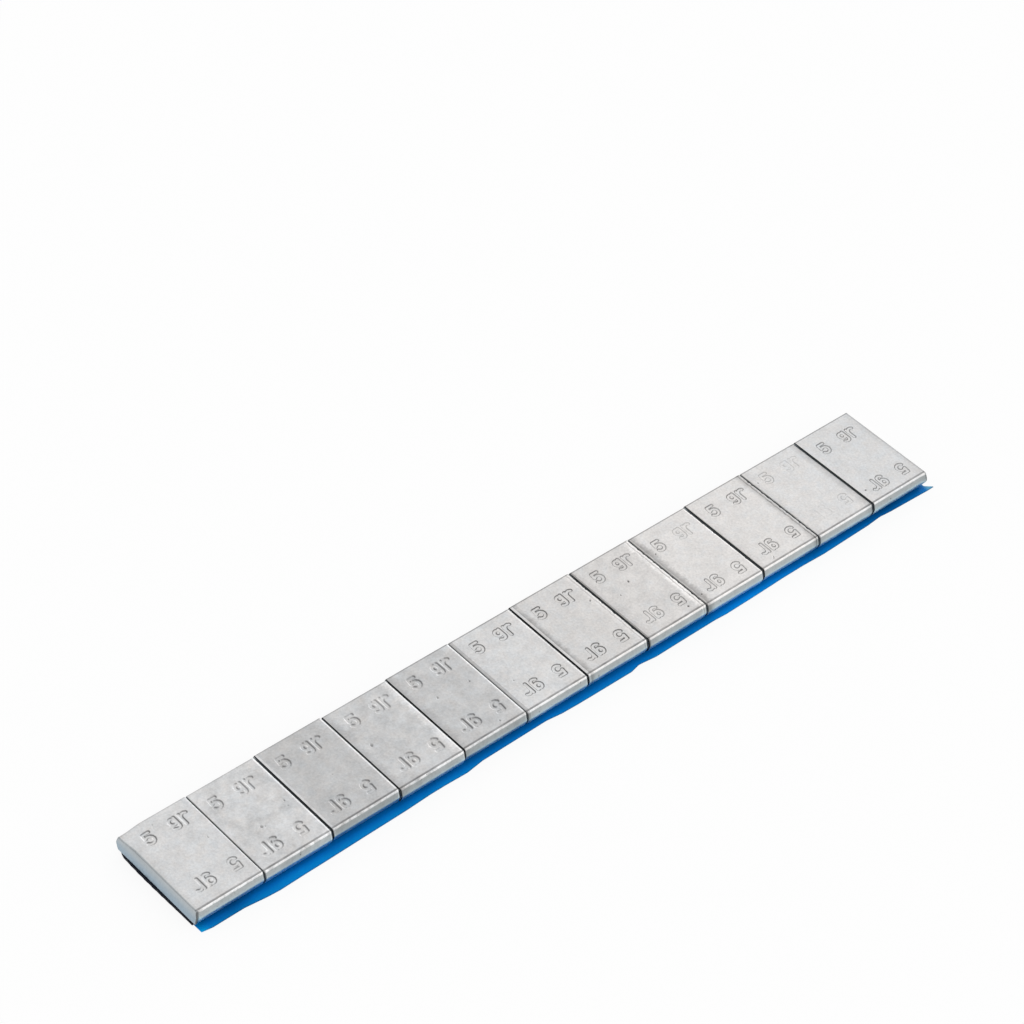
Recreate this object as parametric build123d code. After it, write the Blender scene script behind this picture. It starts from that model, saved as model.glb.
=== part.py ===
"""Adhesive wheel balance weight: a row of steel weights on one tape, with its release liner still on.

Millimetres. +X runs along the strip, -Y is the side where the liner's flap shows, and +Z is up.
The origin is the middle of the row of weights, on the underside of the liner.
"""

import os

from build123d import *

# Steel weights, sheared from rolled flat bar whose long edges bulge
WEIGHT_COUNT = 12
WEIGHT_WIDTH = 19.0  # across the strip, from bulge to bulge
WEIGHT_LENGTH = 12.25  # usual length along the strip
WEIGHT_THICKNESS = 2.8
EDGE_BULGE = 0.75  # how far a rolled long edge stands past the flat faces
SHEAR_EASE = 0.2  # eased edge all round a sheared end
EASE_ANGLE = 45

# Sheared lengths, as shares of the usual one, from the -X end
LENGTH_SHARES = (0.990, 1.007, 1.024, 1.006, 1.002, 0.992, 1.002, 1.004, 0.984, 1.003, 0.984, 1.001)

# Spaces between neighbouring weights, which were laid by eye and differ a little
WEIGHT_GAP = 0.25
GAP_SHARES = (0.6, 1.1, 0.7, 0.8, 0.6, 1.0, 1.0, 0.9, 1.4, 0.9, 1.4)  # of the usual gap, from the -X end
SIDE_STEP = 0.1  # how far a weight may lie to one side of the strip's middle line
SIDE_SHARES = (0.0, -0.8, 0.8, -1.0, 1.0, 0.2, 1.0, -0.2, -1.0, 0.4, -0.2, 0.0)  # of that step, from the -X end

# Double-sided foam tape under the flat undersides
TAPE_THICKNESS = 0.7
TAPE_SIDE_INSET = 0.15  # from each side of the flat underside

# Release liner, a film laid a little towards -Y
LINER_THICKNESS = 0.1
LINER_OVERHANG = 0.45  # usual reach of the flap past the weights' -Y bulge
LINER_BACK_INSET = 1.0  # from the weights' +Y bulge
LINER_START_INSET = 0.45  # from the row's -X end
LINER_TAIL = 1.35  # reach of the flap's pointed corner past the row's +X end
LINER_TAIL_DEPTH = 1.5  # how much of the +X end the slanted corner takes up

# The flap's uneven cut: share of the row's length from the -X end, and reach past the usual overhang
FLAP_CUT = (
    (0.00, 0.00),
    (0.012, 0.38),
    (0.05, 0.36),
    (0.075, 0.77),
    (0.09, 0.92),
    (0.125, 0.79),
    (0.19, 0.69),
    (0.25, 0.50),
    (0.28, 0.33),
    (0.30, 0.33),
    (0.328, 0.42),
    (0.35, 0.07),
    (0.436, -0.12),
    (0.455, 0.15),
    (0.475, 0.25),
    (0.55, 0.28),
    (0.563, 0.02),
    (0.585, 0.25),
    (0.69, 0.13),
    (0.70, 0.25),
    (0.73, 0.21),
    (0.815, -0.02),
    (0.84, 0.10),
    (0.91, -0.08),
    (0.925, -0.43),
    (0.937, -0.22),
    (0.99, 0.02),
)
TAIL_REACH = 0.0  # the pointed corner's own reach past the usual overhang

# Levels and outlines that follow from the sizes above
FLAT_HALF = WEIGHT_WIDTH / 2 - EDGE_BULGE
TAPE_BOTTOM = LINER_THICKNESS
WEIGHT_BOTTOM = TAPE_BOTTOM + TAPE_THICKNESS
LENGTHS = [WEIGHT_LENGTH * LENGTH_SHARES[i % len(LENGTH_SHARES)] for i in range(WEIGHT_COUNT)]
GAPS = [WEIGHT_GAP * GAP_SHARES[i % len(GAP_SHARES)] for i in range(WEIGHT_COUNT - 1)]
SIDE_SHIFTS = [SIDE_STEP * SIDE_SHARES[i % len(SIDE_SHARES)] for i in range(WEIGHT_COUNT)]
ROW_LENGTH = sum(LENGTHS) + sum(GAPS)
ROW_START = -ROW_LENGTH / 2
ROW_END = ROW_LENGTH / 2


def bar_section():
    """Flat bar with bulged long edges, standing on its lower flat face, as seen along the strip."""
    middle = WEIGHT_THICKNESS / 2
    with BuildSketch(Plane.YZ) as section:
        with BuildLine():
            Line((-FLAT_HALF, 0), (FLAT_HALF, 0))
            ThreePointArc(
                (FLAT_HALF, 0), (FLAT_HALF + EDGE_BULGE, middle), (FLAT_HALF, WEIGHT_THICKNESS)
            )
            Line((FLAT_HALF, WEIGHT_THICKNESS), (-FLAT_HALF, WEIGHT_THICKNESS))
            ThreePointArc(
                (-FLAT_HALF, WEIGHT_THICKNESS), (-FLAT_HALF - EDGE_BULGE, middle), (-FLAT_HALF, 0)
            )
        make_face()
    return section.sketch


def steel_weight(length):
    """One weight with its -X end at the origin: a length of bar with both sheared ends eased all round."""
    section = bar_section()
    body = Pos(SHEAR_EASE, 0, 0) * extrude(section, length - 2 * SHEAR_EASE)
    eased_end = extrude(section, SHEAR_EASE, taper=EASE_ANGLE)
    far_end = Pos(length - SHEAR_EASE, 0, 0) * eased_end
    near_end = Pos(SHEAR_EASE, 0, 0) * mirror(eased_end, Plane.YZ)
    return body + far_end + near_end


def weight_places():
    """Place of each weight: its -X end along the strip, its shift to one side, and the level of its underside."""
    starts = [ROW_START]
    for length, gap in zip(LENGTHS, GAPS):
        starts.append(starts[-1] + length + gap)
    return [(start, shift, WEIGHT_BOTTOM) for start, shift in zip(starts, SIDE_SHIFTS)]


def adhesive_tape():
    """One strip of foam tape that carries the whole row."""
    width = 2 * (FLAT_HALF - TAPE_SIDE_INSET)
    strip = Box(ROW_LENGTH, width, TAPE_THICKNESS, align=(Align.CENTER, Align.CENTER, Align.MIN))
    return Pos(0, 0, TAPE_BOTTOM) * strip


def flap_edge(reach):
    """Y of the flap's cut edge at a given reach past the usual overhang."""
    return -(WEIGHT_WIDTH / 2 + LINER_OVERHANG + reach)


def release_liner():
    """Film under the tape, with an uneven flap along -Y and a pointed corner at the +X end."""
    start = ROW_START + LINER_START_INSET
    length = ROW_END - start
    back = WEIGHT_WIDTH / 2 - LINER_BACK_INSET
    cut = [(start + share * length, flap_edge(reach)) for share, reach in FLAP_CUT]
    tip = (ROW_END + LINER_TAIL, flap_edge(TAIL_REACH))
    tail_root = (ROW_END, tip[1] + LINER_TAIL_DEPTH)
    outline = [(start, back), *cut, tip, tail_root, (ROW_END, back)]
    return extrude(make_face(Polyline(*outline, close=True)), LINER_THICKNESS)


def main():
    """Writes one file for each piece."""
    os.makedirs("parts", exist_ok=True)
    for number, (length, place) in enumerate(zip(LENGTHS, weight_places()), 1):
        export_step(Pos(*place) * steel_weight(length), f"parts/weight_{number:02d}.step")
    export_step(adhesive_tape(), "parts/adhesive_tape.step")
    export_step(release_liner(), "parts/release_liner.step")


main()
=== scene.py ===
"""Dresses the balance weight strip: stamped weights, foam tape, blue liner film and a small studio.

Lengths below are millimetres, and MM turns them into Blender's metres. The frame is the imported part's
own: +X along the strip, -Y towards the liner's flap, +Z up, and z = 0 on the floor.
"""

import math
from typing import NamedTuple

import bmesh
import bpy
from bpy.props import FloatProperty, FloatVectorProperty, PointerProperty
from mathutils import Matrix, Quaternion, Vector


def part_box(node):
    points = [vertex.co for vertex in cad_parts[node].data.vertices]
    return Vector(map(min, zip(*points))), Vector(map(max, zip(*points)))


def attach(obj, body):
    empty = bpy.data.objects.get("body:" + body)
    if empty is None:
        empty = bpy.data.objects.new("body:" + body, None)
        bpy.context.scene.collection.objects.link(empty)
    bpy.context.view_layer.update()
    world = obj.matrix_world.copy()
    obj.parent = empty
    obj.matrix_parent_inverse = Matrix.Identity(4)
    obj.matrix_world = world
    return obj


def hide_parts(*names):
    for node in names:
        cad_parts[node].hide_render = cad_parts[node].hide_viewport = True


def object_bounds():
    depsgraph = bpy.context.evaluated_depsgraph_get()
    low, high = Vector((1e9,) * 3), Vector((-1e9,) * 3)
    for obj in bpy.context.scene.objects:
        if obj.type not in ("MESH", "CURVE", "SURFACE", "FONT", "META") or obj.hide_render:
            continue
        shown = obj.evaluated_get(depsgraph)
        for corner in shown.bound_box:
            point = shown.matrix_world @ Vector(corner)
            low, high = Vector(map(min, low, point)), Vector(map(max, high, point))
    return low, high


bl_info = {
    "name": "Balance weight strip",
    "version": (1, 0, 0),
    "blender": (4, 5, 0),
    "location": "3D View > Sidebar > Strip",
    "description": "Models an adhesive strip of stamped balance weights",
    "category": "Object",
}

MM = 0.001
OWN_PLACE = "weight_place"
MARK_EDGE = "mark_edge"
FILM_EDGE = "film_edge"

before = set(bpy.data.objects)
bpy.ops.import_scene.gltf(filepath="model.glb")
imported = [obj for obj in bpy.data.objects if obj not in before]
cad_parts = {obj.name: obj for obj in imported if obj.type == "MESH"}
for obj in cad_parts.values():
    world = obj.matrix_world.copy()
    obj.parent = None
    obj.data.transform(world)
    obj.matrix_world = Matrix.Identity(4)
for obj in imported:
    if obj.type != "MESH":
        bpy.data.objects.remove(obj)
CAD_LOW, CAD_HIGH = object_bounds()
BODY = "root"
WEIGHT_NODES = sorted(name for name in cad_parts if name.startswith("weight_"))
WEIGHT_BOXES = [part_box(node) for node in WEIGHT_NODES]
WEIGHT_LOW, WEIGHT_HIGH = WEIGHT_BOXES[0]
TAPE_LOW, TAPE_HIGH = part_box("adhesive_tape")
LINER_LOW, LINER_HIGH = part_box("release_liner")
ROW_START = WEIGHT_LOW.x
ROW_END = WEIGHT_BOXES[-1][1].x
WEIGHT_LENGTH = WEIGHT_HIGH.x - WEIGHT_LOW.x
WEIGHT_WIDTH = WEIGHT_HIGH.y - WEIGHT_LOW.y
WEIGHT_TOP = WEIGHT_HIGH.z
WEIGHT_BOTTOM = WEIGHT_LOW.z
BLANK_HALF = WEIGHT_LENGTH / 2 / MM  # half the length of the blank of all weights

# Marks of a weight: figures, and for each mark its place and turn in degrees
MARKS = (
    ("5", -3.15, 5.55, 0.0),
    ("gr", 2.40, 5.55, 0.0),
    ("5", 3.50, -5.65, 180.0),
    ("gr", -2.05, -5.65, 180.0),
)
FIGURE_STEP = 1.95  # from one figure of a mark to the next

# Middle lines of each figure's strokes
MARK_STROKES = {
    "5": (
        (
            (0.60, 1.05), (-0.48, 1.05), (-0.58, 0.10), (-0.30, 0.30), (0.02, 0.36),
            (0.36, 0.26), (0.60, 0.00), (0.66, -0.34), (0.54, -0.70), (0.26, -0.97),
            (-0.10, -1.05), (-0.44, -0.96), (-0.68, -0.74),
        ),
    ),
    "g": (
        (
            (0.50, 0.42), (0.42, 0.72), (0.22, 0.94), (-0.05, 1.02), (-0.32, 0.94),
            (-0.52, 0.72), (-0.60, 0.42), (-0.52, 0.12), (-0.32, -0.10), (-0.05, -0.18),
            (0.22, -0.10), (0.42, 0.12), (0.50, 0.42),
        ),
        ((0.53, 1.05), (0.53, -0.62), (0.40, -0.92), (0.10, -1.06), (-0.22, -1.03), (-0.50, -0.85)),
    ),
    "r": (
        ((-0.50, 1.00), (-0.50, -1.05)),
        ((-0.50, 0.30), (-0.30, 0.68), (0.00, 0.92), (0.32, 0.96), (0.62, 0.80)),
    ),
}


class Stamp(NamedTuple):
    """How one weight was stamped, and the painted shade and light on the walls of its marks."""

    depths: tuple  # of its four marks
    stroke: float  # half the width of a stroke's floor
    wall: float  # width of the wall around that floor
    along: float  # shift of the marks, as is the next
    across: float
    # painted shade in the walls of its marks
    wall_shade: float
    even: float  # share of the painted shade on every wall
    lit: float  # further share by how a wall faces the light: below 0 it paints light on walls facing it and shade on the rest


# Stamping of each weight, from the -X end
STAMPS = [Stamp(*row) for row in (
    ((0.10, 0.09, 0.06, 0.08), 0.10, 0.28, 0.30, 0.30, 0.34, 1.0, -2.4),
    ((0.16, 0.12, 0.16, 0.17), 0.12, 0.28, -0.50, -0.20, 0.145, 0.4, -5.8),
    ((0.15, 0.14, 0.15, 0.14), 0.12, 0.30, -0.50, -0.15, 0.11, -0.5, -9.5),
    ((0.15, 0.11, 0.16, 0.15), 0.13, 0.32, 0.20, 0.20, 0.105, -0.5, -9.5),
    ((0.15, 0.14, 0.16, 0.16), 0.13, 0.30, 0.00, 0.25, 0.115, -0.3, -9.0),
    ((0.08, 0.07, 0.07, 0.08), 0.17, 0.20, 0.00, 0.10, 0.64, 1.0, -0.6),
    ((0.09, 0.08, 0.08, 0.08), 0.17, 0.20, 0.00, -0.30, 0.70, 1.0, -0.6),
    ((0.08, 0.08, 0.08, 0.05), 0.18, 0.19, 0.00, 0.15, 0.64, 1.0, 0.6),
    ((0.08, 0.03, 0.07, 0.07), 0.18, 0.19, 0.05, -0.45, 0.64, 1.0, 0.8),
    ((0.10, 0.10, 0.09, 0.09), 0.17, 0.18, 0.05, -0.05, 0.74, 1.0, 1.0),
    ((0.04, 0.02, 0.03, 0.01), 0.17, 0.19, -0.10, 0.20, 0.50, 1.0, 0.8),
    ((0.08, 0.07, 0.09, 0.07), 0.17, 0.18, 0.05, -0.45, 0.72, 1.0, 1.0),
)]
WALL_PEAK = 6  # makes the middle of a wall hold all its painted shade
FULL_SHADE_DEPTH = 0.06  # a mark this deep holds all of its weight's painted shade
LIGHT_SIDE = Vector((0.97, 0.24, 0.0))  # where the painted light on the walls comes from


class Plating(NamedTuple):
    """Looks of one weight's plating, with painted shade and highlights. Shades multiply its tone."""

    tone: float
    start: float  # painted shade where its -X end rolls over, painted sheen above 1
    end: float  # painted sheen where its +X end rolls over, painted shade below 1
    line: float  # painted highlight along its +X edge, painted shade below 1
    blotches: float
    rim: float  # painted shade on the rims beside the gap after it
    seam: float  # how dark the torn seam along its +X end is


# Plating of each weight, from the -X end
PLATINGS = [Plating(*row) for row in (
    (0.94, 0.93, 0.96, 1.18, 1.5, 0.28, 0.0),
    (0.891, 1.05, 1.01, 1.40, 3.0, 1.00, 0.0),
    (0.743, 1.04, 1.05, 1.50, 1.9, 0.90, 0.0),
    (0.823, 0.83, 1.21, 1.28, 2.6, 1.00, 0.0),
    (0.773, 0.85, 1.04, 1.45, 2.3, 0.10, 0.0),
    (0.917, 0.95, 1.00, 1.28, 1.7, 1.00, 0.0),
    (0.891, 0.50, 1.10, 1.08, 1.2, 0.90, 0.20),
    (0.894, 0.88, 1.32, 1.00, 1.9, 0.40, 0.35),
    (0.951, 0.55, 1.02, 1.20, 1.2, 1.00, 0.0),
    (0.943, 0.94, 0.78, 1.05, 1.1, 0.28, 0.45),
    (0.923, 0.93, 0.82, 0.85, 1.0, 1.00, 0.0),
    (0.878, 1.02, 0.93, 0.74, 1.0, 0.85, 0.0),
)]
FIRST_RIM = 0.15  # painted shade on the rim of the row's -X end

# Painted shade and highlights of the plating, its seam and the rolled first end: distances from a
# weight's end up to which each is full and where it ends
START_STRIP = (0.2, 1.7)
END_STRIP = (0.6, 1.5)
EDGE_HIGHLIGHT = (0.25, 0.40)
GAP_RIM = (0.05, 0.11)
NOSE_RIM = (0.12, 0.22)
FIRST_NOSE_RIM = (0.34, 0.48)
FIRST_ROLL = (0.16, 0.30)
NOSE_RIM_SHADE = 0.6
SEAM_PLACE = 0.52  # from a weight's +X end
# Lines of painted shade, in the front crease and along the back
CREASE_LINE = 8.83  # from the middle line, as is the next
BACK_LINE = 8.97
WARM_PLACE = 28.0  # middle of the strip's warmer stretch
WARM_SPREAD = (10.0, 42.0)  # distances from that place, as above
BRIGHTEST = 1.35  # the most that tone, painted highlights and sheen may lighten the plating

# Mesh of the blank: the marks lie between two distances from the middle line
MARKS_INNER = 3.4
MARKS_OUTER = 7.8
BORDER_STEP = 0.1  # mesh step outside the marks
CREASE_ROWS = ((0.0, 1.0), (0.1, 0.4))  # inset of a row, and its share of the depth
SMOOTH_ANGLE = math.radians(40)
FACE_DEPTH = 0.3  # what lies less deep can be pressed

# Section of a rolled long edge: reach past the flat top, and drop below it
NOSE_PROFILE = (
    (0.05, 0.03), (0.12, 0.12), (0.20, 0.27), (0.31, 0.60), (0.41, 0.92),
    (0.47, 1.14), (0.50, 1.32), (0.48, 1.50), (0.40, 1.82), (0.27, 2.20),
    (0.14, 2.50), (0.02, 2.74), (-0.04, 2.80),
)

# Bruises of the rolled front edge: weight number, end (-1 or 1), drop below the top, and pull across
BRUISES = (
    (1, -1, 1.2, 0.25),
    (12, 1, 1.2, -0.20),
)
BRUISE_CORE, BRUISE_REACH = 0.35, 1.1  # radii of what moves all the way and of what is drawn along

# Rolled-over ends: weight number, end (-1 or 1), depth and reach
ROLLED_ENDS = (
    (1, -1, 0.05, 0.30),
    *((number, 1, 0.07, 0.28) for number in range(1, 10)),
    (4, -1, 0.05, 0.9),
    (5, -1, 0.05, 0.9),
    (7, -1, 0.10, 1.3),
    (9, -1, 0.10, 0.8),
    (10, 1, 0.12, 0.6),
    (11, 1, 0.06, 0.7),
)
END_BAR = 0.1  # length of the bar that rolls an end over

# The row's -X end leans and bows, and its back corner is worn
BOW_LOSS = 0.8  # share of the bow lost from foot to top
CORNER_INSET = (0.3, 0.5)  # of the worn spot from the end and from the back
CORNER_CORE, CORNER_REACH = 0.5, 3.4
CORNER_MOVE = (-0.22, -0.17, -0.18)

# Pits and nicks: weight number, x and y from its middle, radius and depth
PITS = (
    (1, 3.9, 0.9, 0.24, 0.10),
    (1, -1.0, 7.6, 0.21, 0.08),
    (2, -1.2, -2.2, 0.60, 0.20),
    (2, -0.7, -2.5, 0.30, 0.10),
    (2, 4.5, -0.3, 0.36, 0.18),
    (2, 4.3, -1.4, 0.27, 0.10),
    (3, 0.5, -0.8, 0.21, 0.07),
    (4, -3.9, 0.2, 0.57, 0.19),
    (5, -2.4, 1.3, 0.39, 0.18),
    (5, 3.6, 1.0, 0.39, 0.16),
    (5, 1.9, -7.9, 0.30, 0.12),
    (6, -3.4, -3.0, 0.24, 0.10),
    (7, 4.9, 2.5, 0.36, 0.18),
    (8, 0.0, 2.1, 0.42, 0.22),
    (8, -3.0, 0.6, 0.27, 0.14),
    (8, 3.7, -7.6, 0.39, 0.18),
    (9, -4.8, 4.0, 0.27, 0.12),
    (9, -5.2, -6.9, 0.30, 0.14),
    (10, -3.0, -8.2, 0.24, 0.14),
    (10, -2.8, -7.9, 0.21, 0.10),
    (11, -5.2, 5.8, 0.27, 0.10),
    (12, -4.9, -6.1, 0.33, 0.16),
)
PIT_FLOOR, PIT_WALL = 0.4, 0.8  # shares of a pit's radius

# Ragged burrs along sheared edges: weight number, end (-1 or 1), depth, and places of dips across
BURRS = (
    (7, 1, 0.12, (7.0, 5.6, 4.9, 3.2, 1.1, -1.6, -3.4, -5.8)),
    (8, 1, 0.10, (7.6, 6.4, 5.1, 4.0, 2.7, 1.2, 0.1, -1.5, -2.9, -4.4, -6.0, -7.4)),
    (9, -1, 0.08, (6.8, 5.0, 3.1, 1.4, -0.9, -3.0, -5.2, -7.0)),
    (9, 1, 0.08, (7.2, 4.6, 1.8, -2.1, -5.5)),
    (10, 1, 0.12, (7.8, 6.9, 6.0, 4.8, 3.7, 2.4, 1.0, -0.4, -1.9, -3.3, -4.9, -6.6)),
    (11, -1, 0.08, (6.2, 3.9, 1.5, -1.2, -4.0, -6.3)),
)
BURR_REACHES = (0.10, 0.15, 0.20)  # taken in turn, as are the next
BURR_LENGTHS = (0.25, 0.35)
BURR_WALL = 0.18

# The tape's cut ends: ripples as size, rate and start, and how they swell and wear
TAPE_RIPPLES = ((0.12, 31.0, 0.0), (0.06, 67.0, 1.0))
TAPE_END = 0.2  # length of the end that swells
LEAST_SWELL = 0.12  # at the sides, as a share of the bulge
BACK_SWELL = 0.9  # how much more the back swells
WORN_SHARE = 0.15  # worn share of half the width, at the back
WORN_DEPTH = 0.3

# The flap's cut: share of the row's length from the -X end, and distance from the middle line
FLAP_CUT = (
    (0.00, 10.15), (0.012, 10.46), (0.05, 10.42), (0.075, 10.84), (0.09, 10.99),
    (0.125, 10.86), (0.19, 10.73), (0.25, 10.56), (0.28, 10.36), (0.30, 10.34),
    (0.328, 10.44), (0.35, 10.02), (0.436, 9.85), (0.455, 10.19), (0.475, 10.27),
    (0.55, 10.31), (0.563, 9.88), (0.585, 10.25), (0.67, 10.13), (0.685, 10.26),
    (0.72, 10.18), (0.77, 9.98), (0.80, 9.97), (0.83, 10.12), (0.90, 9.85),
    (0.922, 9.60), (0.937, 9.80), (0.99, 10.07), (1.00, 10.05),
)
FILM_START = 0.30  # from the row's -X end
FILM_ROWS = 12

# The flap's curl: its start from the middle line, width and level, and ripples as above
CURL_START = 8.6
CURL_WIDTH = 1.4
CURL_LEVEL = 0.6
CURL_RIPPLES = ((0.25, 31.0, 1.0), (0.15, 73.0, 0.0))

# The film's +X edge with its pointed corner: distance from the middle line, and reach past the row's end
TAIL_EDGE = ((8.2, 0.0), (8.5, 0.42), (9.0, 0.46), (9.45, 0.98), (9.95, 1.58), (10.5, 1.58))

# Tone of the film along the strip: share of the row's length from the -X end, and tone
FILM_TONES = (
    (0.0, 1.00), (0.02, 0.90), (0.045, 0.68), (0.08, 1.00), (0.66, 1.00), (0.71, 1.35),
    (0.77, 1.25), (0.82, 1.00), (0.89, 0.90), (0.95, 0.70), (1.0, 0.80),
)

# Lamps: name, turn round the part from -Y towards +X, height above the horizon, width and energy
LAMPS = (
    ("front_lamp", 37.0, 28.0, 40.0, 0.06),
    ("low_lamp", 118.0, 12.0, 36.0, 0.42),
)

# Brightness of the room by the cosine of the angle from its pole, in shares of its strength
ROOM_LEVELS = (
    (0.0, 0.50), (0.2, 0.64), (0.45, 0.76), (0.64, 0.73), (0.78, 0.60), (0.87, 0.54), (1.0, 0.52),
)
ROOM_STRENGTH = 1.4
ROOM_POLE = (-0.151, -0.143, 0.978)  # almost overhead, a little towards the camera


def size_property(label, about, default):
    """A length setting, whose default is in millimetres."""
    return FloatProperty(name=label, description=about, default=default * MM, unit="LENGTH")


def angle_property(label, about, default):
    """An angle setting, whose default is in degrees."""
    return FloatProperty(name=label, description=about, default=math.radians(default), subtype="ANGLE")


def colour_property(label, about, default):
    """A colour setting."""
    return FloatVectorProperty(name=label, description=about, default=default, size=3, subtype="COLOR")


class WeightSettings(bpy.types.PropertyGroup):
    """Sizes and colours of the stamped weights, with painted shade and a painted reflection of the film.
    """

    flat_half: size_property("Flat half", "Half the width of the flat face", 9.0)
    edge_round: size_property("Edge round", "Rounding all round a sheared end", 0.12)
    crease_place: size_property("Crease place", "Distance of the crease from the middle line", 8.9)
    crease_depth: size_property("Crease depth", "Depth of the rolled crease", 0.05)
    fine_step: size_property("Fine step", "Mesh step where marks are stamped", 0.075)
    plain_step: size_property("Plain step", "Mesh step on the plain middle", 0.15)
    end_lean: size_property("End lean", "How far the row's -X end leans in at the top", 0.2)
    end_bow: size_property("End bow", "How far the foot of that end swells out", 0.26)
    warm_plating: colour_property("Warm plating", "Colour of the warmer blotches", (0.735, 0.715, 0.70))
    cool_plating: colour_property("Cool plating", "Colour of the cooler blotches", (0.70, 0.72, 0.74))
    # Painted shade: the rolled edges greyer than the top
    shaded_rolled_edge: colour_property("Rolled edge", "Colour of the rolled long edges", (0.465, 0.495, 0.50))
    # A painted reflection of the blue film, low on the front rolled edge
    film_reflection: colour_property("Rolled foot", "Colour low on the rolled edges", (0.50, 0.72, 0.81))
    sheared_end: colour_property("Sheared end", "Colour of the sheared end faces", (0.48, 0.51, 0.525))
    # Painted shade: the sheared ends darker and bluer towards the foot
    shaded_sheared_foot: colour_property("Sheared foot", "Colour low on the sheared ends", (0.35, 0.44, 0.51))


class TapeSettings(bpy.types.PropertyGroup):
    """Sizes and colour of the foam tape."""

    edge_round: size_property("Edge round", "Rounding of the tape's edges", 0.06)
    bulge: size_property("Bulge", "How far the cut ends swell past the weights", 0.16)
    front_inset: size_property("Front inset", "How far the front side is pressed in", 0.2)
    foam: colour_property("Foam", "Colour of the foam", (0.002, 0.004, 0.012))


class LinerSettings(bpy.types.PropertyGroup):
    """Sizes and colours of the release liner, with painted light and shade."""

    curl: size_property("Curl", "How far the flap's edge stands up", 0.05)
    film: colour_property("Film", "Colour of the film beside the weights", (0.001, 0.21, 0.70))
    # Painted light along the flap's free edge
    outer_film: colour_property("Outer film", "Colour along the free edge", (0.001, 0.27, 0.76))
    # Painted light on the corner at the -X end
    corner_film: colour_property("Corner film", "Colour of the lit corner", (0.001, 0.50, 0.98))
    # Painted shade along the cut edge
    shaded_cut_film: colour_property("Cut film", "Colour of the cut edge", (0.02, 0.13, 0.28))
    tail_film: colour_property("Tail film", "Colour of the pale pointed corner", (0.16, 0.50, 0.78))


class StudioSettings(bpy.types.PropertyGroup):
    """The camera and the floor."""

    azimuth: angle_property("Azimuth", "Camera's turn round the part", -45.212)
    elevation: angle_property("Elevation", "Camera's height above the horizon", 43.346)
    roll: angle_property("Roll", "Camera's turn about its own axis", 5.362)
    distance: size_property("Distance", "From the camera to its target", 545.3)
    target: FloatVectorProperty(
        name="Target", description="Point in the middle of the picture", size=3, unit="LENGTH",
        default=(14.784 * MM, 24.934 * MM, 3.6 * MM),
    )
    lens: FloatProperty(name="Lens", description="Focal length in millimetres", default=120.74)
    floor_colour: colour_property("Floor", "Colour of the floor", (0.98, 0.98, 0.98))
    floor_white: FloatProperty(
        name="Floor white", description="Share of plain white in the floor that the camera sees",
        default=0.88, subtype="FACTOR",
    )


# Shader maths

class Signal:
    """A socket in a shader tree. Arithmetic on it adds Math nodes."""

    def __init__(self, tree, socket=None):
        self.tree = tree
        self.socket = socket

    def node(self, kind, settings=None, inputs=None, output=0):
        """Adds a node, sets it up, fills its sockets with values or links, and returns one output."""
        added = self.tree.nodes.new(kind)
        for name, value in (settings or {}).items():
            if name == "stops":
                fill_ramp(added.color_ramp, value)
            elif name == "interpolation":
                added.color_ramp.interpolation = value
            else:
                setattr(added, name, value)
        for key, value in (inputs or {}).items():
            if isinstance(value, Signal):
                self.tree.links.new(value.socket, added.inputs[key])
            else:
                added.inputs[key].default_value = value
        return Signal(self.tree, added.outputs[output] if len(added.outputs) else None)

    def math(self, operation, *values):
        """A Math node on these values."""
        return self.node("ShaderNodeMath", {"operation": operation}, dict(enumerate(values)))

    def __add__(self, other):
        return self.math("ADD", self, other)

    __radd__ = __add__

    def __sub__(self, other):
        return self.math("SUBTRACT", self, other)

    def __rsub__(self, other):
        return self.math("SUBTRACT", other, self)

    def __mul__(self, other):
        return self.math("MULTIPLY", self, other)

    __rmul__ = __mul__

    def __abs__(self):
        return self.math("ABSOLUTE", self)


def fill_ramp(ramp, stops):
    """Gives a colour ramp its stops, each a place and a grey level."""
    while len(ramp.elements) < len(stops):
        ramp.elements.new(1.0)
    for element, (place, level) in zip(ramp.elements, stops):
        element.position = place
        element.color = (level, level, level, 1.0)


def new_finish(name):
    """An empty material and the start of its shader tree."""
    material = bpy.data.materials.new(name)
    material.use_nodes = True
    material.node_tree.nodes.clear()
    return material, Signal(material.node_tree)


def close_finish(material, start, inputs):
    """Ends a material in one surface shader and returns it."""
    surface = start.node("ShaderNodeBsdfPrincipled", inputs=inputs)
    start.node("ShaderNodeOutputMaterial", inputs={"Surface": surface})
    return material


def millimetres(start):
    """The piece's own coordinates in millimetres."""
    place = start.node("ShaderNodeTexCoord", output="Object")
    return start.node("ShaderNodeVectorMath", {"operation": "SCALE"}, {0: place, "Scale": 1 / MM})


def attribute(start, name, output="Fac"):
    """What the mesh keeps under a name."""
    return start.node("ShaderNodeAttribute", {"attribute_name": name}, output=output)


def axis(place, letter):
    """One coordinate of a place."""
    return place.node("ShaderNodeSeparateXYZ", inputs={0: place}, output=letter)


def noise(place, size, detail=2.0):
    """Noise whose blobs are about this size in millimetres, around zero."""
    inputs = {"Vector": place, "Scale": 1 / size, "Detail": detail, "Roughness": 0.6}
    return place.node("ShaderNodeTexNoise", inputs=inputs, output="Fac") - 0.5


def fade(value, start, end):
    """1 at start and below it, falling smoothly to 0 at end."""
    inputs = {"Value": value, "From Min": start, "From Max": end, "To Min": 1.0, "To Max": 0.0}
    return value.node("ShaderNodeMapRange", {"interpolation_type": "SMOOTHSTEP"}, inputs)


def rise(value, start, end):
    """0 at start and below it, rising smoothly to 1 at end."""
    return 1 - fade(value, start, end)


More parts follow.
